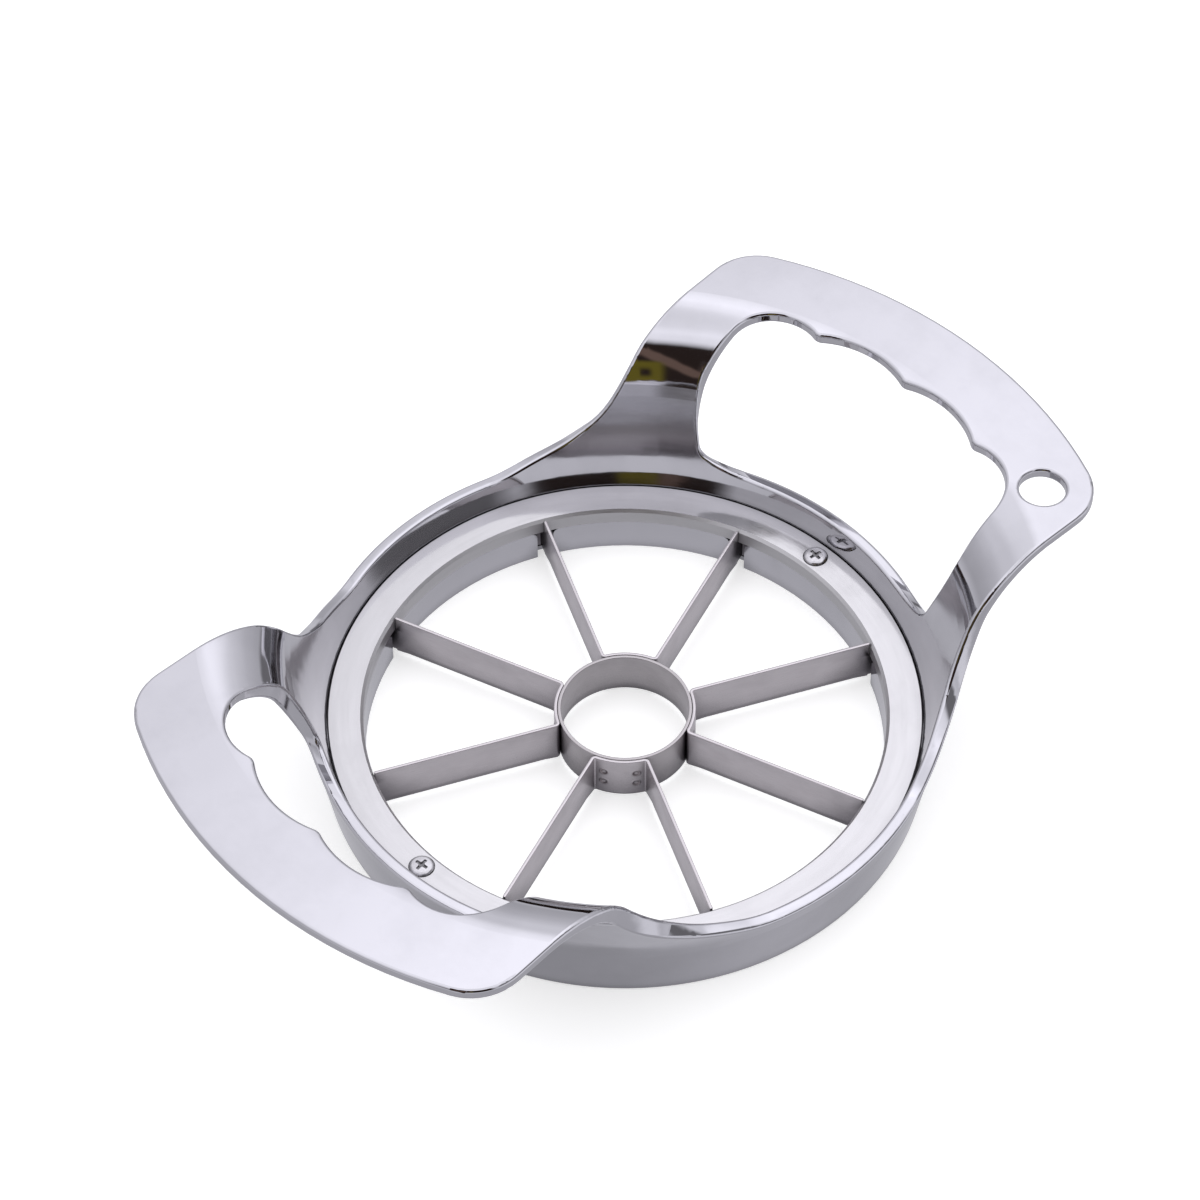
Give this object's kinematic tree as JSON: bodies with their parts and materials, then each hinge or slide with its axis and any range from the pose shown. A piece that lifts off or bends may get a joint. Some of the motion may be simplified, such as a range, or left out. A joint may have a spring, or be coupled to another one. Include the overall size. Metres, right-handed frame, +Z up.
{
  "type": "apple slicer",
  "caption": "Push-down apple slicer: cast two-handled frame around radial blades and a coring tube, with a hanging hole in one handle.",
  "frame": {"origin": "centre of the slicing ring, on the surface the tool stands on", "axes": "+X towards the handle with the hanging hole, +Z up through the ring, away from the cutting side"},
  "size_m": [0.1676, 0.109, 0.0394],
  "materials": {
    "polished_chrome": "polished chrome on die-cast zinc",
    "satin_steel": "satin, fine turned grain",
    "blade_steel": "rolled stainless strip, lightly brushed",
    "screw_steel": "plain bright steel"
  },
  "bodies": {
    "root": {"cast_body": "polished_chrome", "retaining_ring": "satin_steel", "core_tube": "blade_steel", "blade_strip_1": "blade_steel", "blade_strip_2": "blade_steel", "blade_strip_3": "blade_steel", "blade_strip_4": "blade_steel", "ring_screw_1": "screw_steel", "ring_screw_2": "screw_steel"}
  },
  "joints": []
}
